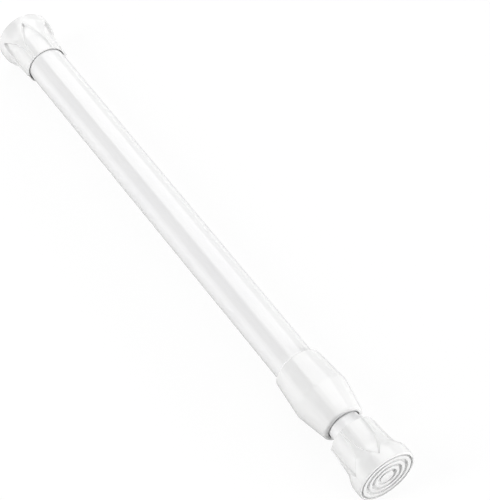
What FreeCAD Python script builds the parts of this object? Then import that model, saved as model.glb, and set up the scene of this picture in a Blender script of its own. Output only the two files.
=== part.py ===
import FreeCAD, Part
import math
import os

# Spring tension rod, pushed together as far as it is packed.
# The rod lies along X. The origin is the centre of the fixed end's face, and +Z is up.
# All sizes are in millimetres.

# The rod as a whole
closed_length = 260.5
inner_tube_od = 12.7
inner_tube_wall = 0.6
outer_tube_wall = 0.6
bush_wall = 0.97
closed_gap = 5.0

# The two end caps, moulded bells with arched panels and a ringed face
cap_length = 20.7
cap_floor = 4.3
cap_rim_wall = 1.45
cap_waist_at = 11.0
cap_waist_rise = 0.4
cap_flare = 1.8
cap_flange_width = 3.6
cap_edge_round = 0.6
cap_relief_depth = 3.0
cap_turn = 7.3
arch_count = 6
arch_width = 8.8
arch_tip_depth = 1.4
arch_waist_depth = 0.8
arch_rim_depth = 0.6
arch_straight = 4.0
arch_tip_at = 3.9
groove_count = 3
groove_first_r = 3.35
groove_pitch = 2.42
groove_width = 1.2
edge_groove_r = 10.45
edge_groove_width = 0.7
groove_depth = 1.1
groove_draft = 0.12

# The collar over the outer tube's open end
collar_length = 29.3
collar_lip = 5.3
collar_back_wall = 1.45
collar_back_round = 1.0
collar_bulge = 1.4
collar_ridge_at = 15.8
collar_ridge_soft = 1.2
collar_mouth_wall = 1.5
collar_mouth_round = 1.2

# The bush in the outer tube's mouth and the split ring on the inner tube's plug
bush_length = 25.0
bush_slit = 1.5
guide_ring_width = 5.0
guide_ring_wall = 1.38
guide_ring_slit = 2.0

# The plug in the inner tube's hidden end
plug_flange = 2.9
plug_head_gap = 0.35
plug_shank = 14.0
plug_pin_d = 2.5
plug_pin_length = 2.6
plug_pin_sink = 0.2

# The locking core ahead of the plug
core_room = 10.0
spindle_thread_d = 5.0
spindle_journal_d = 6.0
spindle_shoulder_d = 12.0
spindle_shoulder_width = 2.5
shank_across_flats = 5.0
clip_margin = 1.5
clip_thickness = 0.8
clip_d = 9.0
clip_groove_depth = 0.5
clip_mouth = 3.4
wedge_play = 2.0
wedge_head = 6.0
wedge_cone = 13.0
wedge_overlap = 0.2
wedge_travel = 3.0
wedge_taper = 0.17
fin_count = 4
fin_width = 1.3
fin_setback = 1.5
sleeve_length = 28.0
sleeve_cone = 14.0
sleeve_mouth_wall = 1.15
sleeve_gap = 0.25
slot_length = 20.0
drag_ring_section = 1.14
drag_ring_setback = 5.0
washer_thickness = 0.9

# The spring and what it presses on, inside the inner tube
spring_travel = 16.0
piston_length = 5.0
piston_gap = 0.3
piston_socket = 3.0
spigot_length = 3.0
spigot_gap = 0.4
screw_d = 2.4
screw_head_d = 5.0
screw_head_height = 1.4
screw_reach = 7.0
screw_slot_width = 0.7
spring_length = 56.0
spring_gap = 0.55
spring_wire_d = 1.0
spring_turns = 12.0
seat_length = 8.0

# Clearances
press_gap = 0.02
running_gap = 0.06
face_gap = 0.05
stop_gap = 0.5
end_play = 0.1
slot_gap = 0.15
hex_gap = 0.1
lip_gap = 0.3
relief_gap = 0.3

# Radii that several pieces share
inner_r = inner_tube_od / 2
inner_bore_r = inner_r - inner_tube_wall
bush_bore_r = inner_r + running_gap
outer_bore_r = bush_bore_r + bush_wall + press_gap
outer_r = outer_bore_r + outer_tube_wall
cap_rim_r = outer_r + cap_rim_wall
cap_waist_r = cap_rim_r + cap_waist_rise
cap_flange_r = cap_waist_r + cap_flare
guide_groove_r = outer_bore_r - 2 * running_gap - guide_ring_wall
thread_r = spindle_thread_d / 2
journal_r = spindle_journal_d / 2
sleeve_r = outer_bore_r - sleeve_gap
sleeve_mouth_r = sleeve_r - sleeve_mouth_wall
wedge_r = sleeve_mouth_r + wedge_overlap
slot_width = fin_width + 2 * slot_gap
spring_mean_r = inner_bore_r - spring_gap - spring_wire_d / 2
spigot_r = spring_mean_r - spring_wire_d / 2 - spigot_gap

# Places along X, from the fixed end to the sliding end
spindle_x = cap_floor + core_room
clip_x = spindle_x + clip_margin
wedge_x = clip_x + clip_thickness + wedge_play
wedge_cone_x = wedge_x + wedge_head
wedge_stand_off = (wedge_overlap + end_play) / wedge_taper
sleeve_x = wedge_cone_x + wedge_travel + wedge_stand_off
sleeve_end_x = sleeve_x + sleeve_length
washer_x = sleeve_end_x + face_gap
shoulder_x = washer_x + washer_thickness
shoulder_end_x = shoulder_x + spindle_shoulder_width
plug_x = shoulder_end_x + spring_travel + stop_gap
groove_x = plug_x + plug_flange
guide_ring_x = groove_x + end_play
guide_ring_end_x = guide_ring_x + guide_ring_width
groove_end_x = guide_ring_end_x + end_play
inner_start_x = groove_end_x + plug_flange
plug_end_x = inner_start_x + plug_shank
plug_pin_x = inner_start_x + plug_shank / 2
piston_x = plug_end_x + face_gap
shank_end_x = piston_x + piston_socket
piston_end_x = piston_x + piston_length
screw_seat_x = piston_end_x + spigot_length - screw_head_height
spring_x = piston_end_x
seat_x = spring_x + spring_length
seat_end_x = seat_x + seat_length
sliding_rim_x = closed_length - cap_length
inner_end_x = closed_length - cap_floor
mouth_x = sliding_rim_x - closed_gap
collar_x = mouth_x - collar_length
outer_end_x = mouth_x - collar_lip
bush_x = outer_end_x - bush_length
telescope_out = bush_x - inner_start_x - stop_gap

ORIGIN = FreeCAD.Vector(0, 0, 0)
AXIS = FreeCAD.Vector(1, 0, 0)
UP = FreeCAD.Vector(0, 0, 1)


def at(x, r):
    """A point of a profile: x along the rod, r out from its axis."""
    return FreeCAD.Vector(x, r, 0)


def line(start, end):
    """A straight edge of a profile."""
    return Part.LineSegment(at(*start), at(*end)).toShape()


def bow(start, middle, end):
    """A round edge of a profile, through three points."""
    return Part.Arc(at(*start), at(*middle), at(*end)).toShape()


def turned_edges(edges):
    """The solid made by turning a closed run of edges about the rod's axis."""
    face = Part.Face(Part.Wire(edges))
    return face.revolve(ORIGIN, AXIS, 360)


def turned(points):
    """The solid made by turning a closed polygon about the rod's axis."""
    corners = points + points[:1]
    edges = [line(a, b) for a, b in zip(corners, corners[1:])]
    return turned_edges(edges)


def barrel(x, end_x, r, bore_r=0.0):
    """A straight ring or rod on the axis."""
    return turned([(x, bore_r), (x, r), (end_x, r), (end_x, bore_r)])


def bar(x, end_x, across_flats):
    """A six-sided bar on the axis, flats up and down."""
    sector = math.radians(60)
    corner_r = across_flats / 2 / math.cos(sector / 2)
    corners = []
    for step in range(6):
        angle = sector * step
        corners.append(FreeCAD.Vector(x, corner_r * math.cos(angle), corner_r * math.sin(angle)))
    face = Part.Face(Part.makePolygon(corners + corners[:1]))
    return face.extrude(AXIS * (end_x - x))


def block(x, end_x, width, low, high):
    """A flat-sided block centred on Y = 0, from one height to another."""
    corner = FreeCAD.Vector(x, -width / 2, low)
    return Part.makeBox(end_x - x, width, high - low, corner)


def around(shape, count, first=0.0):
    """Copies of a shape, evenly turned about the rod's axis."""
    copies = []
    for step in range(count):
        copy = shape.copy()
        copy.rotate(ORIGIN, AXIS, first + 360.0 / count * step)
        copies.append(copy)
    return copies


def bell_edges(flange_r, waist_r, rim_r):
    """A bell's outline from its flange over its waist to its rim: two tangent arcs and a taper."""
    run = cap_waist_at - cap_flange_width
    half_turn = math.atan2(flange_r - waist_r, run)
    radius = run / (2 * math.sin(2 * half_turn))
    aside = radius * math.sin(half_turn)
    rise = radius * (1 - math.cos(half_turn))
    flange = (cap_flange_width, flange_r)
    middle = (cap_flange_width + run / 2, (flange_r + waist_r) / 2)
    waist = (cap_waist_at, waist_r)
    return [
        bow(flange, (cap_flange_width + aside, flange_r - rise), middle),
        bow(middle, (cap_waist_at - aside, waist_r + rise), waist),
        line(waist, (cap_length, rim_r)),
    ]


def groove_points(middle_r, width):
    """One groove of the face: two sloping walls and a flat floor."""
    top = width / 2
    floor = top - groove_draft
    return [
        (0.0, middle_r - top),
        (groove_depth, middle_r - floor),
        (groove_depth, middle_r + floor),
        (0.0, middle_r + top),
    ]


def face_points():
    """The ringed face, from the axis out to the flange's rounded edge."""
    points = [(0.0, 0.0)]
    for step in range(groove_count):
        points += groove_points(groove_first_r + groove_pitch * step, groove_width)
    points += groove_points(edge_groove_r, edge_groove_width)
    points.append((0.0, cap_flange_r - cap_edge_round))
    return points


def bell(tube_r):
    """The cap without its arches: face at X = 0, open rim at the cap's length."""
    flange_r = cap_flange_r
    lip_r = flange_r - cap_edge_round
    bore_r = tube_r + press_gap
    relief_r = tube_r + relief_gap
    relief_x = cap_length - cap_relief_depth
    corner = cap_edge_round * (1 - math.sqrt(0.5))
    points = face_points()
    edges = [line(a, b) for a, b in zip(points, points[1:])]
    edges.append(bow((0.0, lip_r), (corner, flange_r - corner), (cap_edge_round, flange_r)))
    edges.append(line((cap_edge_round, flange_r), (cap_flange_width, flange_r)))
    edges += bell_edges(flange_r, cap_waist_r, cap_rim_r)
    edges.append(line((cap_length, cap_rim_r), (cap_length, relief_r)))
    edges.append(line((cap_length, relief_r), (relief_x, relief_r)))
    edges.append(line((relief_x, relief_r), (relief_x, bore_r)))
    edges.append(line((relief_x, bore_r), (cap_floor, bore_r)))
    edges.append(line((cap_floor, bore_r), (cap_floor, 0.0)))
    edges.append(line((cap_floor, 0.0), points[0]))
    return turned_edges(edges)


def arch_floor():
    """What stays under the arched panels: a slimmer bell, deepest below the arches' tips."""
    flange_r = cap_flange_r - arch_tip_depth
    waist_r = cap_waist_r - arch_waist_depth
    rim_r = cap_rim_r - arch_rim_depth
    edges = [line((0.0, 0.0), (0.0, flange_r)), line((0.0, flange_r), (cap_flange_width, flange_r))]
    edges += bell_edges(flange_r, waist_r, rim_r)
    edges.append(line((cap_length, rim_r), (cap_length, 0.0)))
    edges.append(line((cap_length, 0.0), (0.0, 0.0)))
    return turned_edges(edges)


def arch_block():
    """One pointed arch, open at the rim, as a block that stands out along Z."""
    half = arch_width / 2
    spring_line = cap_length - arch_straight
    rise = spring_line - arch_tip_at
    radius = (rise ** 2 + half ** 2) / (2 * half)
    half_turn = math.asin(rise / radius) / 2
    belly_x = spring_line - radius * math.sin(half_turn)
    belly = half - radius * (1 - math.cos(half_turn))
    past_rim = cap_length + arch_rim_depth
    edges = [
        line((past_rim, -half), (spring_line, -half)),
        bow((spring_line, -half), (belly_x, -belly), (arch_tip_at, 0.0)),
        bow((arch_tip_at, 0.0), (belly_x, belly), (spring_line, half)),
        line((spring_line, half), (past_rim, half)),
        line((past_rim, half), (past_rim, -half)),
    ]
    return Part.Face(Part.Wire(edges)).extrude(UP * 2 * cap_flange_r)


def end_cap(tube_r, turn):
    """One end cap, a bell with pointed panels sunk all round."""
    panel = arch_block().cut(arch_floor())
    return bell(tube_r).cut(around(panel, arch_count, turn))


def make_sliding_cap():
    """The same bell at the other end, turned to face along +X."""
    cap = end_cap(inner_r, -cap_turn)
    cap.rotate(ORIGIN, UP, 180)
    cap.translate(AXIS * closed_length)
    return cap


def make_collar():
    """The double cone over the joint between the tubes."""
    seat_r = outer_r + press_gap
    lip_bore_r = inner_r + lip_gap
    back_r = outer_r + collar_back_wall
    ridge_x = collar_x + collar_ridge_at
    ridge_r = back_r + collar_bulge
    lip_x = mouth_x - collar_mouth_round
    lip_r = lip_bore_r + collar_mouth_wall
    round_x = collar_x + collar_back_round
    rear_drop = (ridge_r - back_r) / (ridge_x - round_x) * collar_ridge_soft
    front_drop = (ridge_r - lip_r) / (lip_x - ridge_x) * collar_ridge_soft
    ridge_start = (ridge_x - collar_ridge_soft, ridge_r - rear_drop)
    ridge_end = (ridge_x + collar_ridge_soft, ridge_r - front_drop)
    ridge_top = (ridge_x, ridge_r - (rear_drop + front_drop) / 4)
    quarter = 1 - math.sqrt(0.5)
    back_mid = (collar_x + collar_back_round * quarter, back_r - collar_back_round * quarter)
    lip_mid = (mouth_x - collar_mouth_round * quarter, lip_r - collar_mouth_round * quarter)
    back_foot = (collar_x, back_r - collar_back_round)
    mouth_top = (mouth_x, lip_r - collar_mouth_round)
    return turned_edges([
        line((collar_x, seat_r), back_foot),
        bow(back_foot, back_mid, (round_x, back_r)),
        line((round_x, back_r), ridge_start),
        bow(ridge_start, ridge_top, ridge_end),
        line(ridge_end, (lip_x, lip_r)),
        bow((lip_x, lip_r), lip_mid, mouth_top),
        line(mouth_top, (mouth_x, lip_bore_r)),
        line((mouth_x, lip_bore_r), (outer_end_x, lip_bore_r)),
        line((outer_end_x, lip_bore_r), (outer_end_x, seat_r)),
        line((outer_end_x, seat_r), (collar_x, seat_r)),
    ])


def make_bush():
    """The split bush that guides the inner tube in the outer tube's mouth."""
    ring = barrel(bush_x, outer_end_x, outer_bore_r - press_gap, bush_bore_r)
    return ring.cut(block(bush_x, outer_end_x, bush_slit, 0.0, outer_r))


def make_guide_ring():
    """The split ring that slides in the outer tube and runs in the plug's groove."""
    bore_r = guide_groove_r + running_gap
    ring = barrel(guide_ring_x, guide_ring_end_x, outer_bore_r - running_gap, bore_r)
    return ring.cut(block(guide_ring_x, guide_ring_end_x, guide_ring_slit, 0.0, outer_r))


def plug_pin_blanks(radius, inner_end, outer_end):
    """Two upright pins, one each side of the axis."""
    blank = Part.makeCylinder(radius, outer_end - inner_end, FreeCAD.Vector(plug_pin_x, 0, inner_end), UP)
    return around(blank, 2)


def make_plug():
    """The guide plug: a grooved head, and a shank pressed into the inner tube."""
    head_r = outer_bore_r - plug_head_gap
    shank_r = inner_bore_r - press_gap
    body = turned([
        (plug_x, 0.0), (plug_x, head_r), (groove_x, head_r), (groove_x, guide_groove_r),
        (groove_end_x, guide_groove_r), (groove_end_x, head_r), (inner_start_x, head_r),
        (inner_start_x, shank_r), (plug_end_x, shank_r), (plug_end_x, 0.0),
    ])
    keyway = bar(plug_x, plug_end_x, shank_across_flats + 2 * hex_gap)
    pin_foot = inner_r - plug_pin_sink - plug_pin_length - press_gap
    holes = plug_pin_blanks(plug_pin_d / 2 + press_gap, pin_foot, inner_r)
    return body.cut([keyway] + holes)


def make_plug_pins():
    """The two short pins that hold the plug in the inner tube."""
    pin_end = inner_r - plug_pin_sink
    pins = plug_pin_blanks(plug_pin_d / 2, pin_end - plug_pin_length, pin_end)
    return Part.makeCompound(pins)


def make_inner_tube():
    """The thinner tube, drilled for the plug's pins."""
    tube = barrel(inner_start_x, inner_end_x, inner_r, inner_bore_r)
    return tube.cut(plug_pin_blanks(plug_pin_d / 2 + press_gap, 0.0, inner_r + inner_tube_wall))


def make_spindle():
    """The spindle: thread, journal, shoulder and a six-sided shank."""
    clip_r = thread_r - clip_groove_depth
    clip_end_x = clip_x + clip_thickness + 2 * face_gap
    journal_x = sleeve_x + sleeve_cone
    shoulder_r = spindle_shoulder_d / 2
    body = turned([
        (spindle_x, 0.0), (spindle_x, thread_r), (clip_x, thread_r), (clip_x, clip_r),
        (clip_end_x, clip_r), (clip_end_x, thread_r), (journal_x, thread_r), (journal_x, journal_r),
        (shoulder_x, journal_r), (shoulder_x, shoulder_r), (shoulder_end_x, shoulder_r),
        (shoulder_end_x, 0.0),
    ])
    shank = bar(shoulder_end_x, shank_end_x, shank_across_flats)
    pilot = barrel(screw_seat_x - screw_reach, shank_end_x, screw_d / 2 + press_gap)
    return body.fuse(shank).removeSplitter().cut(pilot)


def make_clip():
    """The clip that keeps the wedge from running off the thread."""
    start = clip_x + face_gap
    clip_bore_r = thread_r - clip_groove_depth + press_gap
    ring = barrel(start, start + clip_thickness, clip_d / 2, clip_bore_r)
    return ring.cut(block(start, start + clip_thickness, clip_mouth, 0.0, clip_d))


def make_wedge():
    """The wedge nut: a cone with fins that run in the sleeve's slots."""
    tip_x = wedge_cone_x + wedge_cone
    tip_r = wedge_r - wedge_taper * wedge_cone
    bore_r = thread_r + running_gap
    cone = turned([
        (wedge_x, bore_r), (wedge_x, wedge_r), (wedge_cone_x, wedge_r), (tip_x, tip_r), (tip_x, bore_r),
    ])
    fin = block(wedge_cone_x, tip_x - fin_setback, fin_width, tip_r - fin_width, wedge_r)
    return cone.fuse(around(fin, fin_count)).removeSplitter()


def make_sleeve():
    """The split sleeve that the wedge spreads against the outer tube."""
    cone_end_x = sleeve_x + sleeve_cone
    cone_end_r = sleeve_mouth_r - wedge_taper * sleeve_cone
    bore_r = journal_r + running_gap
    ring_x = sleeve_end_x - drag_ring_setback
    groove_r = outer_bore_r - running_gap - drag_ring_section - press_gap
    half_groove = drag_ring_section / 2 + end_play
    body = turned([
        (sleeve_x, sleeve_mouth_r), (sleeve_x, sleeve_r), (ring_x - half_groove, sleeve_r),
        (ring_x - half_groove, groove_r), (ring_x + half_groove, groove_r),
        (ring_x + half_groove, sleeve_r), (sleeve_end_x, sleeve_r), (sleeve_end_x, bore_r),
        (cone_end_x, bore_r), (cone_end_x, cone_end_r),
    ])
    slot = block(sleeve_x, sleeve_x + slot_length, slot_width, 0.0, outer_r)
    return body.cut(around(slot, fin_count))


def make_drag_ring():
    """The rubber ring that keeps the sleeve from turning with the spindle."""
    section_r = drag_ring_section / 2
    middle_r = outer_bore_r - running_gap - section_r
    centre = FreeCAD.Vector(sleeve_end_x - drag_ring_setback, 0, 0)
    return Part.makeTorus(middle_r, section_r, centre, AXIS)


def make_piston():
    """The piston on the spindle's end, which pushes the spring."""
    rim_r = inner_bore_r - piston_gap
    spigot_end_x = piston_end_x + spigot_length
    body = turned([
        (piston_x, 0.0), (piston_x, rim_r), (piston_end_x, rim_r), (piston_end_x, spigot_r),
        (spigot_end_x, spigot_r), (spigot_end_x, 0.0),
    ])
    socket = bar(piston_x, shank_end_x, shank_across_flats + 2 * press_gap)
    hole = barrel(shank_end_x, screw_seat_x, screw_d / 2 + end_play)
    sink = barrel(screw_seat_x, spigot_end_x, screw_head_d / 2 + end_play)
    return body.cut([socket, hole, sink])


def make_screw():
    """The screw that holds the piston on the spindle, with a slotted head."""
    head_end_x = screw_seat_x + screw_head_height
    shank_r = screw_d / 2
    head_r = screw_head_d / 2
    body = turned([
        (screw_seat_x - screw_reach, 0.0), (screw_seat_x - screw_reach, shank_r),
        (screw_seat_x, shank_r), (screw_seat_x, head_r), (head_end_x, head_r), (head_end_x, 0.0),
    ])
    slot_x = screw_seat_x + screw_head_height / 2
    return body.cut(block(slot_x, head_end_x, screw_slot_width, -head_r, head_r))


def make_spring():
    """The compression spring, wound about the axis with its ends ground flat."""
    wire_r = spring_wire_d / 2
    pitch = (spring_length - spring_wire_d) / spring_turns
    helix = Part.makeHelix(pitch, spring_length + 2 * pitch, spring_mean_r)
    section = Part.Wire(Part.makeCircle(wire_r, FreeCAD.Vector(spring_mean_r, 0, 0), FreeCAD.Vector(0, 1, 0)))
    coil = Part.Wire(helix.Edges).makePipeShell([section], True, True)
    coil.translate(UP * -pitch)
    keep = Part.makeCylinder(spring_mean_r + spring_wire_d, spring_length)
    coil = coil.common(keep)
    coil.rotate(ORIGIN, FreeCAD.Vector(0, 1, 0), 90)
    coil.translate(AXIS * spring_x)
    return coil


def make_seat():
    """The seat pressed into the inner tube behind the spring."""
    seat_r = inner_bore_r - press_gap
    spigot_x = seat_x - spigot_length
    return turned([
        (spigot_x, 0.0), (spigot_x, spigot_r), (seat_x, spigot_r), (seat_x, seat_r),
        (seat_end_x, seat_r), (seat_end_x, 0.0),
    ])


def build():
    """Every piece of the rod, by name."""
    return {
        "outer_tube": barrel(cap_floor, outer_end_x, outer_r, outer_bore_r),
        "tube_collar": make_collar(),
        "guide_bush": make_bush(),
        "fixed_end_cap": end_cap(outer_r, cap_turn),
        "guide_ring": make_guide_ring(),
        "inner_tube": make_inner_tube(),
        "sliding_end_cap": make_sliding_cap(),
        "guide_plug": make_plug(),
        "plug_pins": make_plug_pins(),
        "spring_seat": make_seat(),
        "tension_spring": make_spring(),
        "lock_spindle": make_spindle(),
        "end_clip": make_clip(),
        "thrust_washer": barrel(washer_x, shoulder_x, spindle_shoulder_d / 2, journal_r + running_gap),
        "spring_piston": make_piston(),
        "piston_screw": make_screw(),
        "lock_sleeve": make_sleeve(),
        "drag_ring": make_drag_ring(),
        "wedge_nut": make_wedge(),
    }


os.makedirs("parts", exist_ok=True)
for name, shape in build().items():
    shape.exportStep("parts/" + name + ".step")
    print(name, "solids", len(shape.Solids), "valid", shape.isValid(), "volume", round(shape.Volume, 2))
print("telescope travel", round(telescope_out, 2), "spring travel", spring_travel)
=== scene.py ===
# %% [markdown]
# # A white spring tension rod
# This rod holds a net curtain between two walls. A thin tube slides out of a thicker one, a twist locks the
# length, and a spring inside keeps both ringed ends pressed on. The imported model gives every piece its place
# and its motion. This lesson gives each piece its finish, and turns the pieces that show with softer edges
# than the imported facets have.

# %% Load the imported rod
import math

import bmesh
import bpy
from mathutils import Matrix, Quaternion, Vector


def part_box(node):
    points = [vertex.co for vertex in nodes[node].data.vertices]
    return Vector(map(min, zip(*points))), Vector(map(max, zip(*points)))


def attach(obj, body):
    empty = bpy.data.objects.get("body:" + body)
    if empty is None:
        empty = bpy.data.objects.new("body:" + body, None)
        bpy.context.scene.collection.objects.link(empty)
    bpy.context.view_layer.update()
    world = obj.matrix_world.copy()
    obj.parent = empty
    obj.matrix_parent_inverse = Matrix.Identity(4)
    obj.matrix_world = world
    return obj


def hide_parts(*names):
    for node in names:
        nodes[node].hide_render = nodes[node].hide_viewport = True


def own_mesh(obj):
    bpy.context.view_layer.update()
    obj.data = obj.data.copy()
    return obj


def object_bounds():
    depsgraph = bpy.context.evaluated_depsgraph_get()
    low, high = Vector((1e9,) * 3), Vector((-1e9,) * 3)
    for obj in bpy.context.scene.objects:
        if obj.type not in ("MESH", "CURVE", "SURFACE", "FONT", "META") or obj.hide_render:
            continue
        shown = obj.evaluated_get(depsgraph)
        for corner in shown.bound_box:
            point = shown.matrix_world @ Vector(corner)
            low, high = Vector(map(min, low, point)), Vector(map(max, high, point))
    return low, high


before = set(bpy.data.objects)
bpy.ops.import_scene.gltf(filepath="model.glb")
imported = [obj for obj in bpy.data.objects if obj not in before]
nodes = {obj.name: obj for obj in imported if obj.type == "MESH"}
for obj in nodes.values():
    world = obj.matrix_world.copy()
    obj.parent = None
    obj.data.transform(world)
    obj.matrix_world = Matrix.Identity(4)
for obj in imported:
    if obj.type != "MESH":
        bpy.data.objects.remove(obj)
cad_low, cad_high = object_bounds()
MM = 0.001
print("pieces in the frame:", len(nodes), "length in mm:", round((cad_high.x - cad_low.x) / MM, 1))

# %% [markdown]
# ## The camera
# The rod was photographed from above its sliding end, with a long lens. A camera can be placed by hand until
# the picture fits, but here it was worked out from the two round ends: a circle's ellipse tells both how far
# away it is and how it is tilted. So the camera is a point to look at, a distance, a heading, a drop and
# a very slight roll.

# %% Place the camera
look_at = Vector((149.35, 14.35, 0.0)) * MM
camera_distance = 656.8 * MM
camera_heading = math.radians(146.655)
camera_drop = math.radians(50.595)
camera_roll = math.radians(0.15)
lens_mm = 126.8
sensor_mm = 36.0
nearest_seen = 10 * MM

level = math.cos(camera_drop)
sight = Vector((
    math.cos(camera_heading) * level,
    math.sin(camera_heading) * level,
    -math.sin(camera_drop),
))
camera_data = bpy.data.cameras.new("camera")
camera_data.sensor_fit = "HORIZONTAL"
camera_data.sensor_width = sensor_mm
camera_data.lens = lens_mm
camera_data.clip_start = nearest_seen
camera = bpy.data.objects.new("camera", camera_data)
camera.location = look_at - sight * camera_distance
camera.rotation_mode = "QUATERNION"
camera.rotation_quaternion = sight.to_track_quat("-Z", "Y") @ Quaternion((0, 0, 1), camera_roll)
bpy.context.scene.collection.objects.link(camera)
bpy.context.scene.camera = camera
bpy.context.scene.view_settings.view_transform = "Standard"
print("camera at, in mm:", [round(c / MM, 1) for c in camera.location])

# %% [markdown]
# ## A white surround
# White things are often shot on a white sweep, so that only soft greys draw them. One way is to pour light
# on until the paper burns out, but then the rod burns out too. Here the paper is white only for rays that
# look straight at it or see it mirrored. For all other rays it is a plain grey that lights the rod gently.
# It keeps a share of real shading, so that the rod still casts its shadow: a small share for the camera, and
# a larger one in mirrored rays, where the shadow beside the rod darkens its lower edge.

# %% Lay the paper
paper_grey = 0.5
paper_white = 0.7
paper_glow = 1.04
shade_seen = 0.12
shade_mirrored = 0.85
paper_half_width = 6.0


def seen_rays(tree):
    """A socket that is 1 for rays from the camera, and for mirrored and see-through ones."""
    path = tree.nodes.new("ShaderNodeLightPath")
    total = path.outputs["Is Camera Ray"]
    for kind in ("Is Glossy Ray", "Is Transmission Ray"):
        join = tree.nodes.new("ShaderNodeMath")
        join.operation = "MAXIMUM"
        tree.links.new(total, join.inputs[0])
        tree.links.new(path.outputs[kind], join.inputs[1])
        total = join.outputs[0]
    return total


def make_paper_finish():
    """Matt paper that shows as white, apart from the rod's soft shadow."""
    material = bpy.data.materials.new("white_paper")
    material.use_nodes = True
    tree = material.node_tree
    tree.nodes.clear()
    plain = tree.nodes.new("ShaderNodeBsdfDiffuse")
    plain.inputs["Color"].default_value = (paper_grey, paper_grey, paper_grey, 1)
    shaded = tree.nodes.new("ShaderNodeBsdfDiffuse")
    shaded.inputs["Color"].default_value = (paper_white, paper_white, paper_white, 1)
    glow = tree.nodes.new("ShaderNodeEmission")
    glow.inputs["Strength"].default_value = paper_glow
    path = tree.nodes.new("ShaderNodeLightPath")
    share = tree.nodes.new("ShaderNodeMapRange")
    share.inputs["To Min"].default_value = shade_mirrored
    share.inputs["To Max"].default_value = shade_seen
    tree.links.new(path.outputs["Is Camera Ray"], share.inputs["Value"])
    white = tree.nodes.new("ShaderNodeMixShader")
    tree.links.new(share.outputs["Result"], white.inputs[0])
    tree.links.new(glow.outputs[0], white.inputs[1])
    tree.links.new(shaded.outputs[0], white.inputs[2])
    mix = tree.nodes.new("ShaderNodeMixShader")
    tree.links.new(seen_rays(tree), mix.inputs[0])
    tree.links.new(plain.outputs[0], mix.inputs[1])
    tree.links.new(white.outputs[0], mix.inputs[2])
    output = tree.nodes.new("ShaderNodeOutputMaterial")
    tree.links.new(mix.outputs[0], output.inputs[0])
    return material


paper_mesh = bpy.data.meshes.new("paper")
reach = paper_half_width
paper_mesh.from_pydata(
    [(-reach, -reach, 0), (reach, -reach, 0), (reach, reach, 0), (-reach, reach, 0)], [], [(0, 1, 2, 3)]
)
paper = bpy.data.objects.new("paper", paper_mesh)
paper.location = (look_at.x, look_at.y, cad_low.z)
paper_mesh.materials.append(make_paper_finish())
bpy.context.scene.collection.objects.link(paper)
print("the rod lies on the paper at, in mm:", round(cad_low.z / MM, 2))

# %% [markdown]
# ## A sky with a dark strip
# An even sky makes white gloss look flat, because a mirror of plain grey is plain grey. A studio hangs a long
# black card between two lights. Here the sky itself has such a strip, which runs along the rod: mirrored in
# the tube, it draws the grey band that makes it look round, and it shades the collar's lip. How far a
# direction leans out of the strip's plane says how dark the sky is there.

# %% Make the sky
sky_strength = 0.6
dark_strength = 0.05
dark_strip_side = Vector((0, 0.69, 0.72)).normalized()
dark_reach = math.radians(25)
dark_core = math.radians(19)


def make_sky():
    """An even grey sky with a dark strip that runs along the rod."""
    world = bpy.data.worlds.new("grey_sky")
    world.use_nodes = True
    tree = world.node_tree
    shade = tree.nodes["Background"]
    shade.inputs["Color"].default_value = (1, 1, 1, 1)
    place = tree.nodes.new("ShaderNodeTexCoord")
    lean = tree.nodes.new("ShaderNodeVectorMath")
    lean.operation = "DOT_PRODUCT"
    lean.inputs[1].default_value = dark_strip_side
    aside = tree.nodes.new("ShaderNodeMath")
    aside.operation = "ABSOLUTE"
    fade = tree.nodes.new("ShaderNodeMapRange")
    fade.interpolation_type = "SMOOTHSTEP"
    fade.inputs["From Min"].default_value = math.sin(dark_core)
    fade.inputs["From Max"].default_value = math.sin(dark_reach)
    fade.inputs["To Min"].default_value = dark_strength
    fade.inputs["To Max"].default_value = sky_strength
    tree.links.new(place.outputs["Generated"], lean.inputs[0])
    tree.links.new(lean.outputs["Value"], aside.inputs[0])
    tree.links.new(aside.outputs[0], fade.inputs["Value"])
    tree.links.new(fade.outputs["Result"], shade.inputs["Strength"])
    return world


bpy.context.scene.world = make_sky()
print("sky:", bpy.context.scene.world.name)

# %% [markdown]
# ## Soft lamps
# What the eye reads as a glossy tube is the mirrored picture of the lamps. Seen from here, the tube mirrors
# what lies behind it and above. So the main lamp is a wide panel that hangs there with one side along the
# rod: its near edge draws the border of the bright band. Three more lamps fill in, from the near side, the
# front and the far side. Their picture would stand as a white window on the collar and the caps, so mirrored
# rays don't see them. Together the lamps light the rod at a plain level, where its white stays below that of
# the paper.

# %% Hang the lamps
lamp_distance = 0.8
rod_axis = Vector((1, 0, 0))


def hang_lamp(name, direction, size, watts, mirrored):
    """An area lamp with one side along the rod. Mirrored says if glossy pieces show its picture."""
    data = bpy.data.lights.new(name, "AREA")
    data.shape = "RECTANGLE"
    data.size, data.size_y = size
    data.energy = watts
    lamp = bpy.data.objects.new(name, data)
    toward = Vector(direction).normalized()
    side = (rod_axis - toward * toward.dot(rod_axis)).normalized()
    lamp.location = look_at + toward * lamp_distance
    lamp.rotation_mode = "QUATERNION"
    lamp.rotation_quaternion = Matrix((side, toward.cross(side), toward)).transposed().to_quaternion()
    lamp.visible_camera = False
    lamp.visible_glossy = mirrored
    bpy.context.scene.collection.objects.link(lamp)


hang_lamp("panel_behind", (-0.42, 0.30, 0.85), size=(0.8, 0.85), watts=1.4, mirrored=True)
hang_lamp("lamp_near_side", (-0.1, -0.85, 0.5), size=(0.22, 0.6), watts=4.8, mirrored=False)
hang_lamp("lamp_front", (0.9, 0.4, 0.15), size=(0.5, 0.2), watts=4.4, mirrored=False)
hang_lamp("lamp_far_side", (-0.7, 0.7, 0.2), size=(0.4, 0.25), watts=2.7, mirrored=False)

# %% [markdown]
# ## Soft outlines
# Nothing moulded or drawn has a knife edge. A bevel modifier could round edges afterwards, but on turned
# pieces it is cleaner to round the outline first: each corner of the section gets its own small arc, and the
# whole piece is turned from it.

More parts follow.
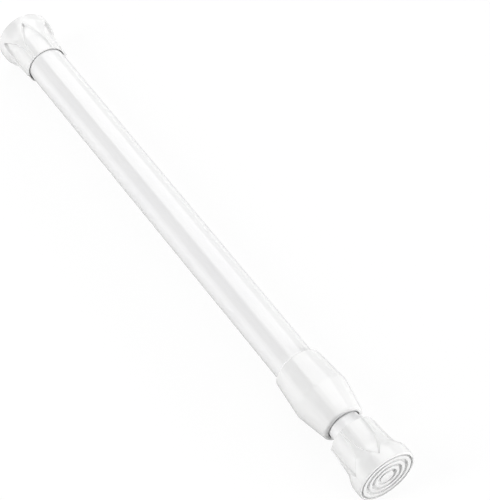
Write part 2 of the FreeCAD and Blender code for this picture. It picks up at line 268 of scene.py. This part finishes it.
# %% Round the corners of an outline
round_steps = 5


def soften(corners):
    """Points of an outline whose corners (x, r, round) are replaced by small arcs."""
    outline = []
    count = len(corners)
    for place, (x, r, size) in enumerate(corners):
        corner = Vector((x, r))
        if size == 0:
            outline.append((x, r))
            continue
        before = (Vector(corners[place - 1][:2]) - corner).normalized()
        after = (Vector(corners[(place + 1) % count][:2]) - corner).normalized()
        half = before.angle(after) / 2
        centre = corner + (before + after).normalized() * (size / math.sin(half))
        start = corner + before * (size / math.tan(half)) - centre
        end = corner + after * (size / math.tan(half)) - centre
        first = math.atan2(start.y, start.x)
        turn = math.remainder(math.atan2(end.y, end.x) - first, math.tau)
        for step in range(round_steps + 1):
            angle = first + turn * step / round_steps
            outline.append((centre.x + size * math.cos(angle), centre.y + size * math.sin(angle)))
    return outline


print("a softened square has", len(soften([(0, 1, 0.1), (1, 1, 0.1), (1, 2, 0.1), (0, 2, 0.1)])), "points")

# %% [markdown]
# ## A lathe
# Tubes, collar and caps are all turned about the rod's axis. The Screw modifier can turn an outline, but it
# gives every ring the same radius. This small lathe asks for the radius and the angle of each point, so that
# it can also sink panels into a bell or cut a thread.

# %% Build the lathe


def plain_round(x, r, angle):
    """The radius and the angle of a point on a plain round piece."""
    return r, angle


def ring_faces(rows, sides, closed):
    """Quads between neighbouring rings, and triangles where a ring is a single point."""
    faces = []
    pairs = list(zip(rows, rows[1:]))
    if closed:
        pairs.append((rows[-1], rows[0]))
    for a, b in pairs:
        for step in range(sides):
            follow = (step + 1) % sides
            if len(a) == 1:
                faces.append((a[0], b[follow], b[step]))
            elif len(b) == 1:
                faces.append((a[step], a[follow], b[0]))
            else:
                faces.append((a[step], a[follow], b[follow], b[step]))
    return faces


def lathe(name, outline, sides, turn_at=plain_round):
    """A mesh object turned from an outline of (x, r) points in metres."""
    points, rows = [], []
    for x, r in outline:
        row = []
        for step in range(sides if r > 0 else 1):
            radius, angle = turn_at(x, r, math.tau * step / sides)
            row.append(len(points))
            points.append((x, radius * math.cos(angle), radius * math.sin(angle)))
        rows.append(row)
    mesh = bpy.data.meshes.new(name)
    mesh.from_pydata(points, [], ring_faces(rows, sides, outline[0][1] > 0))
    return settle(name, mesh)


def settle(name, mesh):
    """Faces a mesh outwards, smooths it and links it as an object."""
    work = bmesh.new()
    work.from_mesh(mesh)
    bmesh.ops.recalc_face_normals(work, faces=work.faces)
    work.to_mesh(mesh)
    work.free()
    for face in mesh.polygons:
        face.use_smooth = True
    piece = bpy.data.objects.new(name, mesh)
    bpy.context.scene.collection.objects.link(piece)
    evened = piece.modifiers.new("even_normals", "WEIGHTED_NORMAL")
    evened.keep_sharp = True
    return piece


two_rings = [[0, 1, 2, 3], [4, 5, 6, 7]]
print("two rings of four points give", len(ring_faces(two_rings, 4, False)), "faces")

# %% [markdown]
# ## Finishes from noise
# No real surface is the same all over. Pictures could be wrapped round the pieces, but noise has no seams and
# stays sharp at any distance. These helpers start a material and let noise drive its tone, its gloss and its
# grain, each at its own scale. A number that holds all over sits on the shader's own socket.

# %% Write the finish helpers
tone_from = 0.3
tone_to = 0.7


def start_finish(name):
    """A new material, its node tree and its main shader."""
    material = bpy.data.materials.new(name)
    material.use_nodes = True
    tree = material.node_tree
    shader = tree.nodes["Principled BSDF"]
    return material, tree, shader


def noise(tree, scale, detail=2.0, stretch=(1, 1, 1)):
    """Noise that is fixed to the piece, with its cell size set by the scale per metre."""
    place = tree.nodes.new("ShaderNodeTexCoord")
    spread = tree.nodes.new("ShaderNodeMapping")
    spread.inputs["Scale"].default_value = stretch
    cells = tree.nodes.new("ShaderNodeTexNoise")
    cells.inputs["Scale"].default_value = scale
    cells.inputs["Detail"].default_value = detail
    tree.links.new(place.outputs["Object"], spread.inputs["Vector"])
    tree.links.new(spread.outputs["Vector"], cells.inputs["Vector"])
    return cells.outputs["Fac"]


def tone(tree, source, shader, dark, pale):
    """Lets the colour drift between two tones."""
    ramp = tree.nodes.new("ShaderNodeValToRGB")
    ramp.color_ramp.elements[0].position = tone_from
    ramp.color_ramp.elements[0].color = (*dark, 1)
    ramp.color_ramp.elements[1].position = tone_to
    ramp.color_ramp.elements[1].color = (*pale, 1)
    tree.links.new(source, ramp.inputs["Fac"])
    tree.links.new(ramp.outputs["Color"], shader.inputs["Base Color"])


def gloss(tree, source, shader, low, high):
    """Lets the roughness drift between two values."""
    span = tree.nodes.new("ShaderNodeMapRange")
    span.inputs["To Min"].default_value = low
    span.inputs["To Max"].default_value = high
    tree.links.new(source, span.inputs["Value"])
    tree.links.new(span.outputs["Result"], shader.inputs["Roughness"])


def grain(tree, source, shader, strength, height):
    """Raises the surface a little where the source is high."""
    bump = tree.nodes.new("ShaderNodeBump")
    bump.inputs["Strength"].default_value = strength
    bump.inputs["Distance"].default_value = height
    tree.links.new(source, bump.inputs["Height"])
    tree.links.new(bump.outputs["Normal"], shader.inputs["Normal"])


print("noise can drive:", ", ".join(helper.__name__ for helper in (tone, gloss, grain)))

# %% [markdown]
# ## White enamel
# Both tubes are steel strip, rolled, welded and stove-enamelled. The skin is glossy but not a mirror: the
# paint pools into a very fine orange peel, and its tone drifts a little along the tube. A low roughness alone
# would do for gloss, but a clear coat over the white mirrors more, as the glassy skin of enamel does.

# %% Mix the enamel
coat_specular = 1.0
coat_weight = 1.0
coat_ior = 1.6
coat_roughness = 0.06


def glaze(shader):
    """A clear and glossy skin over the colour."""
    shader.inputs["Specular IOR Level"].default_value = coat_specular
    shader.inputs["Coat Weight"].default_value = coat_weight
    shader.inputs["Coat IOR"].default_value = coat_ior
    shader.inputs["Coat Roughness"].default_value = coat_roughness


def make_enamel():
    """Glossy white enamel with a fine orange peel."""
    material, tree, shader = start_finish("white_enamel")
    glaze(shader)
    tone(tree, noise(tree, scale=45), shader, dark=(0.845, 0.845, 0.85), pale=(0.865, 0.865, 0.865))
    gloss(tree, noise(tree, scale=160), shader, low=0.06, high=0.1)
    grain(tree, noise(tree, scale=1400), shader, strength=0.03, height=0.02 * MM)
    return material


enamel = make_enamel()
print("finish:", enamel.name)

# %% [markdown]
# ## The outer tube
# The thicker tube is the body of the rod. Its wall is thin, and its bore is open, because the lock slides in
# it. A cylinder with a Solidify modifier could make it. But the ends of the real tube are cut and brushed, so
# each edge carries a small round, and a softened outline on the lathe gives those as well.

# %% Turn the outer tube
tube_wall = 0.6 * MM
tube_edge = 0.15 * MM
tube_sides = 192


def turn_tube(name, node):
    """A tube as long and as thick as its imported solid, with brushed edges."""
    low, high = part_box(node)
    bore = high.z - tube_wall
    return lathe(name, soften([
        (low.x, bore, tube_edge),
        (low.x, high.z, tube_edge),
        (high.x, high.z, tube_edge),
        (high.x, bore, tube_edge),
    ]), tube_sides)


def dress(piece, body, node, finish):
    """Puts a piece in place of a packed one, on its body and with its finish."""
    piece.data.materials.clear()
    piece.data.materials.append(finish)
    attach(piece, body)
    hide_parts(node)
    print(piece.name, "has", len(piece.data.polygons), "faces and stands for", node)


outer_tube = turn_tube("outer_tube_enamelled", "outer_tube")
dress(outer_tube, "outer_tube", "outer_tube", enamel)

# %% [markdown]
# ## The inner tube
# The thinner tube carries the sliding cap. Its hidden end is drilled on both sides for the pins that hold the
# plug. Drilling is a cut, so a Boolean modifier does it with one bar through both walls, and is applied so
# that the mesh really has its holes.

# %% Turn and drill the inner tube
pin_gap = 0.02 * MM
drill_sides = 48


def drill(piece, bar):
    """Cuts a bar's shape out of a piece and removes the bar."""
    cut = piece.modifiers.new("drilled", "BOOLEAN")
    cut.operation = "DIFFERENCE"
    cut.solver = "EXACT"
    cut.object = bar
    bpy.context.view_layer.objects.active = piece
    bpy.ops.object.modifier_move_to_index(modifier=cut.name, index=0)
    bpy.ops.object.modifier_apply(modifier=cut.name)
    bpy.data.objects.remove(bar)


def make_drill_bar(node):
    """An upright bar a little thicker than the pins, long enough for both walls."""
    low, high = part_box(node)
    radius = (high.y - low.y) / 2 + pin_gap
    length = 2 * (high.z - low.z)
    bpy.ops.mesh.primitive_cylinder_add(
        vertices=drill_sides, radius=radius, depth=length, location=((low.x + high.x) / 2, 0, 0)
    )
    return bpy.context.object


inner_tube = turn_tube("inner_tube_enamelled", "inner_tube")
drill(inner_tube, make_drill_bar("plug_pins"))
dress(inner_tube, "inner_tube", "inner_tube", enamel)

# %% [markdown]
# ## White plastic
# Caps and collar are moulded in white plastic from polished moulds, so they get the same clear skin as the
# enamel. The mould leaves a fine even grain, and the gloss dulls slightly in broad patches where the plastic
# cooled last. In the grooves and at the foot of the arches, the colour is darkened where the surface closes in
# on itself. That is painted shade, added to the shade that the lamps cast there. Scattering inside the plastic
# is left out, because it would wash out the thin shadows that draw the arches.

# %% Mix the plastic
# painted shade: how far the ambient occlusion looks, and how much of its darkening goes into the colour
painted_shade_reach = 0.8 * MM
painted_shade_share = 0.28


def paint_corner_shade(tree, shader, reach, share):
    """Paints shade into the colour in narrow corners, from ambient occlusion."""
    # painted shade: ambient occlusion darkens the base colour in narrow corners, where shade falls
    corner = tree.nodes.new("ShaderNodeAmbientOcclusion")
    corner.inputs["Distance"].default_value = reach
    source = shader.inputs["Base Color"].links[0].from_socket
    blend = tree.nodes.new("ShaderNodeMixRGB")
    blend.inputs["Fac"].default_value = share
    tree.links.new(source, corner.inputs["Color"])
    tree.links.new(source, blend.inputs["Color1"])
    tree.links.new(corner.outputs["Color"], blend.inputs["Color2"])
    tree.links.new(blend.outputs["Color"], shader.inputs["Base Color"])


def make_plastic():
    """Glossy moulded white plastic."""
    material, tree, shader = start_finish("white_plastic")
    glaze(shader)
    tone(tree, noise(tree, scale=90), shader, dark=(0.845, 0.845, 0.845), pale=(0.87, 0.87, 0.865))
    # painted shade in the grooves and at the foot of the arches
    paint_corner_shade(tree, shader, painted_shade_reach, painted_shade_share)
    gloss(tree, noise(tree, scale=240), shader, low=0.08, high=0.13)
    grain(tree, noise(tree, scale=3200), shader, strength=0.03, height=0.02 * MM)
    return material


plastic = make_plastic()
print("finish:", plastic.name)

# %% [markdown]
# ## The collar
# The collar hides the step between the tubes and gives the hand something to grip for the twist. It is a
# long cone and a short one that meet in a soft ridge, with a rounded back edge and a rolled mouth. Its length
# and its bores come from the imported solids, and the corners of its section are named here.

# %% Turn the collar
collar_back_r = 9.45 * MM
collar_back_round = 1.0 * MM
collar_ridge_at = 15.8 * MM
collar_ridge_r = 10.85 * MM
collar_ridge_round = 6.0 * MM
collar_mouth_r = 8.15 * MM
collar_mouth_round = 1.2 * MM
collar_lip = 5.3 * MM
collar_bore_gap = 0.3 * MM
seat_gap = 0.02 * MM
mouth_edge = 0.2 * MM


def turn_collar():
    """The collar, bored for both tubes."""
    low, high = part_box("tube_collar")
    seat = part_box("outer_tube")[1].z + seat_gap
    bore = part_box("inner_tube")[1].z + collar_bore_gap
    return lathe("collar_moulded", soften([
        (low.x, seat, mouth_edge),
        (low.x, collar_back_r, collar_back_round),
        (low.x + collar_ridge_at, collar_ridge_r, collar_ridge_round),
        (high.x, collar_mouth_r, collar_mouth_round),
        (high.x, bore, mouth_edge),
        (high.x - collar_lip, bore, 0),
        (high.x - collar_lip, seat, 0),
    ]), tube_sides)


collar = turn_collar()
dress(collar, "outer_tube", "tube_collar", plastic)

# %% [markdown]
# ## The end caps
# Each cap is a bell: a broad flange, a waist, and a skirt over the tube. Its face is cut by round grooves,
# and the rings between them grip the wall. A bump could fake the grooves, but a bump hides nothing and casts
# no shadow. These are about as deep as they are wide, so they are real corners of the section.

# %% Draw the ringed face
cap_low, cap_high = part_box("fixed_end_cap")
cap_length = cap_high.x - cap_low.x
flange_r = cap_high.z
flange_width = 3.6 * MM
flange_round = 0.6 * MM
face_grooves = [
    (3.35 * MM, 1.2 * MM),
    (5.77 * MM, 1.2 * MM),
    (8.19 * MM, 1.2 * MM),
    (10.45 * MM, 0.7 * MM),
]
groove_depth = 1.1 * MM
groove_draft = 0.12 * MM
groove_soft = 0.1 * MM


def face_corners():
    """The ringed face from the axis out to the flange's rounded edge."""
    corners = [(0.0, 0.0, 0)]
    for middle, width in face_grooves:
        top = width / 2
        floor = top - groove_draft
        corners.append((0.0, middle - top, groove_soft))
        corners.append((groove_depth, middle - floor, groove_soft))
        corners.append((groove_depth, middle + floor, groove_soft))
        corners.append((0.0, middle + top, groove_soft))
    corners.append((0.0, flange_r, flange_round))
    corners.append((flange_width, flange_r, 0))
    return corners


print("the face has", len(face_grooves), "grooves and", len(face_corners()), "corners")

# %% [markdown]
# ### The bell
# Behind the flange the bell bends in over a shoulder, runs out in a hollow and then tapers to its rim. A free
# curve could be drawn by eye, but two arcs that meet without a kink are how a mould is turned. At the rim the
# bore stands off the tube by a hair, which draws the dark line round it. The rows are closest near the
# flange, where the tips of the arches will need them.

# %% Draw the bell's section
waist_at = 11.0 * MM
waist_r = 9.85 * MM
rim_r = 9.45 * MM
rim_round = 0.2 * MM
relief_gap = 0.3 * MM
relief_depth = 3.0 * MM
relief_edge = 0.1 * MM
bore_floor = 4.3 * MM
tip_rows_end = 6.0 * MM
tip_row = 0.08 * MM
bell_row = 0.3 * MM
trial_bore_r = 8.0 * MM


def bell_radius(u, flange, waist, rim):
    """A bell's radius at a distance from its face: two tangent arcs, then a slight taper."""
    run = waist_at - flange_width
    rise = flange - waist
    arc = (run ** 2 + rise ** 2) / (4 * rise)
    if u <= flange_width:
        return flange
    if u < flange_width + run / 2:
        return flange - arc + math.sqrt(arc ** 2 - (u - flange_width) ** 2)
    if u < waist_at:
        return waist + arc - math.sqrt(arc ** 2 - (waist_at - u) ** 2)
    return waist + (rim - waist) * (u - waist_at) / (cap_length - waist_at)


def even_rows(start, end, step):
    """Places from just after the start up to the end, about a step apart."""
    count = math.ceil((end - start) / step)
    return [start + (end - start) * place / count for place in range(1, count + 1)]


def cap_outline(bore_r):
    """The whole section of a cap, from the middle of its face to the middle of its bore."""
    outline = soften(face_corners() + [(cap_length, rim_r, 0)])[:-1]
    rows = even_rows(flange_width, tip_rows_end, tip_row)
    rows += even_rows(tip_rows_end, cap_length - 2 * rim_round, bell_row)
    outline += [(u, bell_radius(u, flange_r, waist_r, rim_r)) for u in rows]
    relief_x = cap_length - relief_depth
    edge = soften([
        (waist_at, waist_r, 0),
        (cap_length, rim_r, rim_round),
        (cap_length, bore_r + relief_gap, relief_edge),
        (relief_x, bore_r + relief_gap, 0),
        (relief_x, bore_r, 0),
        (bore_floor, bore_r, 0),
        (bore_floor, 0.0, 0),
    ])
    return outline + edge[1:]


print("the bell's section has", len(cap_outline(trial_bore_r)), "points")

# %% [markdown]
# ### Sinking the arches
# Six pointed arches are sunk into the skirt, which leaves six ribs that run up and fade into the flange. An
# arch has two straight legs at the rim and two long arcs that meet in a point below the flange. Its floor is
# a slimmer bell, deepest below the point. A Boolean could cut the arches, but it leaves a ragged mesh. So the
# half width at each place is worked out from the arcs, and the slope of the arch there turns a sideways
# distance into a true one, so that the wall is as steep along the arcs as along the legs.

# %% Shape the arches
arch_count = 6
arch_half = 4.4 * MM
arch_tip_depth = 1.4 * MM
arch_waist_depth = 0.8 * MM
arch_rim_depth = 0.6 * MM
arch_straight = 4.0 * MM
arch_tip = 3.9 * MM
arch_edge = 0.45 * MM
arc_limit = 0.999


def arch_half_width(u):
    """Half the arch's width at a distance from the face, and how steeply it changes."""
    foot = cap_length - arch_straight
    rise = foot - arch_tip
    arc = (rise ** 2 + arch_half ** 2) / (2 * arch_half)
    if u >= foot:
        return arch_half, 0.0
    along = min(foot - u, arc_limit * arc)
    drop = math.sqrt(arc ** 2 - along ** 2)
    return arch_half - arc + drop, along / drop


def panel_depth(u, aside):
    """How far an arch sinks the bell at a sideways distance from its middle."""
    half, slope = arch_half_width(u)
    inside = (half - aside) / math.hypot(1, slope)
    share = min(max(inside / arch_edge + 0.5, 0.0), 1.0)
    floor = bell_radius(u, flange_r - arch_tip_depth, waist_r - arch_waist_depth, rim_r - arch_rim_depth)
    depth = bell_radius(u, flange_r, waist_r, rim_r) - floor
    return depth * share * share * (3 - 2 * share)


print("at its rim an arch is", round(2 * arch_half_width(cap_length)[0] / MM, 1), "mm wide")

# %% [markdown]
# ### Crowding the points
# A ring with evenly spaced points would need thousands of them to keep the arches' edges crisp. So each ring
# gets the same number of points on the floor of an arch, on its wall and on the rib, however narrow the wall
# is there. The two caps are one shape, turned to face opposite walls and bored for different tubes.

# %% Turn both caps
arch_turn = math.radians(7.3)
least_half = 0.05 * MM
floor_steps = 7
wall_steps = 5
rib_steps = 8
half_steps = floor_steps + wall_steps + rib_steps
cap_sides = 2 * half_steps * arch_count
skin_margin = 1.5 * relief_edge


def crowd(u, r, share):
    """The angle from an arch's middle for a share of the way to the next rib's middle."""
    half, slope = arch_half_width(u)
    spread = arch_edge / 2 * math.hypot(1, slope)
    stops = [0.0, max(half - spread, least_half), max(half, 0.0) + spread + least_half]
    angles = [math.asin(stop / r) for stop in stops] + [math.pi / arch_count]
    place = share * half_steps
    for start, low, high, count in zip(
        (0, floor_steps, floor_steps + wall_steps), angles, angles[1:], (floor_steps, wall_steps, rib_steps)
    ):
        if place <= start + count:
            return low + (high - low) * (place - start) / count
    return angles[-1]


def turn_cap(name, node, tube, facing):
    """A cap on its tube. Facing is 1 at the fixed end and -1 at the sliding end."""
    low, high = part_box(node)
    face_x = low.x if facing > 0 else high.x
    bore_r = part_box(tube)[1].z + seat_gap
    skin_r = bore_r + relief_gap + skin_margin
    first = math.pi / 2 + arch_turn
    sector = math.tau / arch_count

    def cap_point(x, r, angle):
        u = (x - face_x) * facing
        outside = r > skin_r and u > groove_depth
        middle = sector * round(angle / sector)
        aside = angle - middle
        place_u = u if outside else (flange_width if u <= groove_depth else cap_length)
        place_r = bell_radius(place_u, flange_r, waist_r, rim_r)
        turn = math.copysign(crowd(place_u, place_r, min(abs(aside) / (sector / 2), 1.0)), aside)
        sunk = panel_depth(u, place_r * math.sin(abs(turn))) if outside and u > flange_width else 0.0
        return r - sunk, first + middle + turn

    outline = [(face_x + facing * u, r) for u, r in cap_outline(bore_r)]
    return lathe(name, outline, cap_sides, cap_point)


fixed_cap = turn_cap("fixed_cap_moulded", "fixed_end_cap", "outer_tube", 1)
dress(fixed_cap, "outer_tube", "fixed_end_cap", plastic)
sliding_cap = turn_cap("sliding_cap_moulded", "sliding_end_cap", "inner_tube", -1)
dress(sliding_cap, "inner_tube", "sliding_end_cap", plastic)

# %% [markdown]
# ## Natural nylon
# The running pieces inside are nylon, left in its own milky cream. It is duller than the caps, and its grain
# is coarser. A transparent shader could show that light enters it, but milky plastic scatters that light just
# below its skin, so subsurface is the nearer way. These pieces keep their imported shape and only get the
# finish.

# %% Finish the nylon pieces
milky_weight = 0.25
milky_tint = (1.0, 0.9, 0.7)
milky_depth = 1.2 * MM


def make_nylon():
    """Uncoloured nylon, milky and satin."""
    material, tree, shader = start_finish("natural_nylon")
    shader.inputs["Subsurface Weight"].default_value = milky_weight
    shader.inputs["Subsurface Radius"].default_value = milky_tint
    shader.inputs["Subsurface Scale"].default_value = milky_depth
    tone(tree, noise(tree, scale=140), shader, dark=(0.72, 0.69, 0.6), pale=(0.8, 0.78, 0.7))
    gloss(tree, noise(tree, scale=420), shader, low=0.42, high=0.58)
    grain(tree, noise(tree, scale=1800, detail=4), shader, strength=0.12, height=0.05 * MM)
    return material


def paint(names, finish):
    """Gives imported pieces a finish."""
    for name in names:
        nodes[name].data.materials.clear()
        nodes[name].data.materials.append(finish)
    print(finish.name, "on", ", ".join(names))


nylon = make_nylon()
paint(
    ["guide_bush", "guide_ring", "guide_plug", "spring_seat", "spring_piston", "lock_sleeve", "wedge_nut"],
    nylon,
)

# %% [markdown]
# ## Zinc-plated steel
# Spindle, washer, screw and pins are turned from bar and plated. Turning leaves fine rings round the axis. A
# wave texture could draw them, but too evenly. Noise gives uneven ones when it is squeezed along the rod.

# %% Finish the plated pieces


def make_zinc():
    """Turned and zinc-plated steel with fine tool rings."""
    material, tree, shader = start_finish("zinc_steel")
    shader.inputs["Metallic"].default_value = 1.0
    rings = noise(tree, scale=60, detail=3, stretch=(90, 1, 1))
    tone(tree, noise(tree, scale=300), shader, dark=(0.58, 0.59, 0.62), pale=(0.72, 0.72, 0.7))
    gloss(tree, rings, shader, low=0.24, high=0.42)
    grain(tree, rings, shader, strength=0.2, height=0.03 * MM)
    return material


zinc = make_zinc()
paint(["thrust_washer", "piston_screw", "plug_pins"], zinc)

# %% [markdown]
# ## The spindle and its thread
# One turn of the rod moves the wedge by one lead of this thread, so the lead here is the one that the joints
# use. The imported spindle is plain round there. A Screw modifier could wind the thread as a piece of its own,
# but here the lathe cuts it into the bar: how far a point is along the lead says how deep the groove is.
# The shank should have six flats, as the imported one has. It doesn't get them: a point is told apart by its
# radius, and the shank's is the same as the thread's, so both ends of the shank come out grooved instead.

# %% Shape the thread and the shank
thread_lead = 2.0 * MM
thread_r = 2.5 * MM
thread_depth = 0.42 * MM
crest_share = 0.35
flank_share = 0.3
shank_flat = 2.5 * MM
shank_sides = 6


def groove(turns):
    """The thread's depth from 0 to 1 as it goes round: a flat crest and a flat root."""
    wave = abs(math.remainder(turns, 1.0)) * 2
    return min(max((wave - crest_share) / flank_share, 0.0), 1.0)


def spindle_point(x, r, angle):
    """Threaded at the thread's radius, six-sided at the shank's if that differs, and round elsewhere."""
    if r == thread_r:
        r -= thread_depth * groove(x / thread_lead - angle / math.tau)
    elif r == shank_flat:
        sector = math.tau / shank_sides
        r /= math.cos(math.remainder(angle - sector / 2, sector))
    return r, angle


print("groove depth over half a turn:", [round(groove(eighth / 8), 2) for eighth in range(5)])

# %% [markdown]
# ### Turning the spindle
# From its tip the spindle has a groove for the clip, the thread, a smooth journal for the sleeve, a shoulder
# for the washer, and the shank with a hole for the screw. The places come from the boxes of the pieces that
# sit on it, so that they meet.

# %% Turn the spindle
thread_step = 0.125 * MM
tip_chamfer = 0.6 * MM
tip_rise = 0.1 * MM
clip_groove_r = 2.0 * MM
clip_groove_side = 0.05 * MM
journal_r = 3.0 * MM
journal_from_sleeve = 14.0 * MM
shoulder_width = 2.5 * MM
pilot_r = 1.22 * MM
pilot_depth = 3.4 * MM
spindle_sides = 96


def spindle_outline():
    """Tip, clip groove, thread, journal, shoulder, shank and pilot hole."""
    low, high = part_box("lock_spindle")
    clip_low, clip_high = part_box("end_clip")
    washer_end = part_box("thrust_washer")[1].x
    shoulder_r = high.z
    shoulder_end = washer_end + shoulder_width
    journal_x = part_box("lock_sleeve")[0].x + journal_from_sleeve
    thread_x = clip_high.x + clip_groove_side
    root_r = thread_r - thread_depth
    outline = [
        (low.x, 0.0),
        (low.x, root_r),
        (low.x + tip_chamfer, root_r + tip_rise),
        (clip_low.x - clip_groove_side, root_r + tip_rise),
        (clip_low.x - clip_groove_side, clip_groove_r),
        (thread_x, clip_groove_r),
    ]
    steps = round((journal_x - thread_x) / thread_step)
    for step in range(steps + 1):
        outline.append((thread_x + (journal_x - thread_x) * step / steps, thread_r))
    outline += [
        (journal_x, journal_r),
        (washer_end, journal_r),
        (washer_end, shoulder_r),
        (shoulder_end, shoulder_r),
        (shoulder_end, shank_flat),
        (high.x, shank_flat),
        (high.x, pilot_r),
        (high.x - pilot_depth, pilot_r),
        (high.x - pilot_depth, 0.0),
    ]
    return outline


spindle = lathe("spindle_threaded", spindle_outline(), spindle_sides, spindle_point)
dress(spindle, "lock_spindle", "lock_spindle", zinc)

# %% [markdown]
# ## Spring steel
# The spring and the clip are hard drawn steel, oiled and not plated. So the metal is darker than zinc, and
# its tone breaks up in small flecks. A flat dark grey would look like plastic, because metal shows by how
# unevenly it mirrors.

# %% Finish the spring steel


def make_spring_steel():
    """Drawn spring wire, dark and slightly streaked."""
    material, tree, shader = start_finish("spring_steel")
    shader.inputs["Metallic"].default_value = 1.0
    tone(tree, noise(tree, scale=500, detail=4), shader, dark=(0.3, 0.3, 0.32), pale=(0.44, 0.44, 0.45))
    gloss(tree, noise(tree, scale=900), shader, low=0.26, high=0.44)
    grain(tree, noise(tree, scale=2600), shader, strength=0.15, height=0.02 * MM)
    return material


spring_steel = make_spring_steel()
paint(["end_clip"], spring_steel)

# %% [markdown]
# ## The spring
# The spring is wound cold from wire, with both ends ground flat so that they sit square. A curve with a round
# bevel could draw it, but its ends would stay round. So rings of points are swept along a helix and held back
# at both ends. The imported spring is stiff.

# %% Wind the spring
spring_low, spring_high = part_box("tension_spring")
spring_turns = 12
wire_r = 0.5 * MM
turn_steps = 48
wire_sides = 14


def wind_spring():
    """A round wire on a helix, ground flat where it passes the ends."""
    length = spring_high.x - spring_low.x
    mean_r = spring_high.z - wire_r
    pitch = (length - 2 * wire_r) / spring_turns
    lean = math.atan2(pitch, math.tau * mean_r)
    points, rows = [], []
    count = round(length / pitch * turn_steps)
    for step in range(count + 1):
        angle = math.tau * step / turn_steps
        centre_x = spring_low.x + pitch * step / turn_steps
        row = []
        for side in range(wire_sides):
            around = math.tau * side / wire_sides
            out = mean_r + wire_r * math.cos(around)
            back = wire_r * math.sin(around)
            turned = angle - back * math.sin(lean) / mean_r
            x = min(max(centre_x + back * math.cos(lean), spring_low.x), spring_high.x)
            row.append(len(points))
            points.append((x, out * math.cos(turned), out * math.sin(turned)))
        rows.append(row)
    faces = ring_faces(rows, wire_sides, False)
    faces += [tuple(rows[0]), tuple(reversed(rows[-1]))]
    mesh = bpy.data.meshes.new("spring_wound")
    mesh.from_pydata(points, [], faces)
    return settle("spring_wound", mesh)


spring = wind_spring()
dress(spring, "inner_tube", "tension_spring", spring_steel)
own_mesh(spring)

# %% [markdown]
# ## The rubber ring
# A black rubber ring drags on the outer tube, so that the sleeve stays behind while the spindle turns. Rubber
# is dull and slightly dusty. Pure black would hide its shape, so it is a very dark grey that noise lightens
# where the dust lies.

# %% Finish the rubber ring


def make_rubber():
    """Dull black rubber with a dusty bloom."""
    material, tree, shader = start_finish("black_rubber")
    dust = noise(tree, scale=700, detail=4)
    tone(tree, dust, shader, dark=(0.018, 0.018, 0.018), pale=(0.045, 0.045, 0.045))
    gloss(tree, noise(tree, scale=500), shader, low=0.55, high=0.75)
    grain(tree, noise(tree, scale=3000), shader, strength=0.2, height=0.03 * MM)
    return material


rubber = make_rubber()
paint(["drag_ring"], rubber)
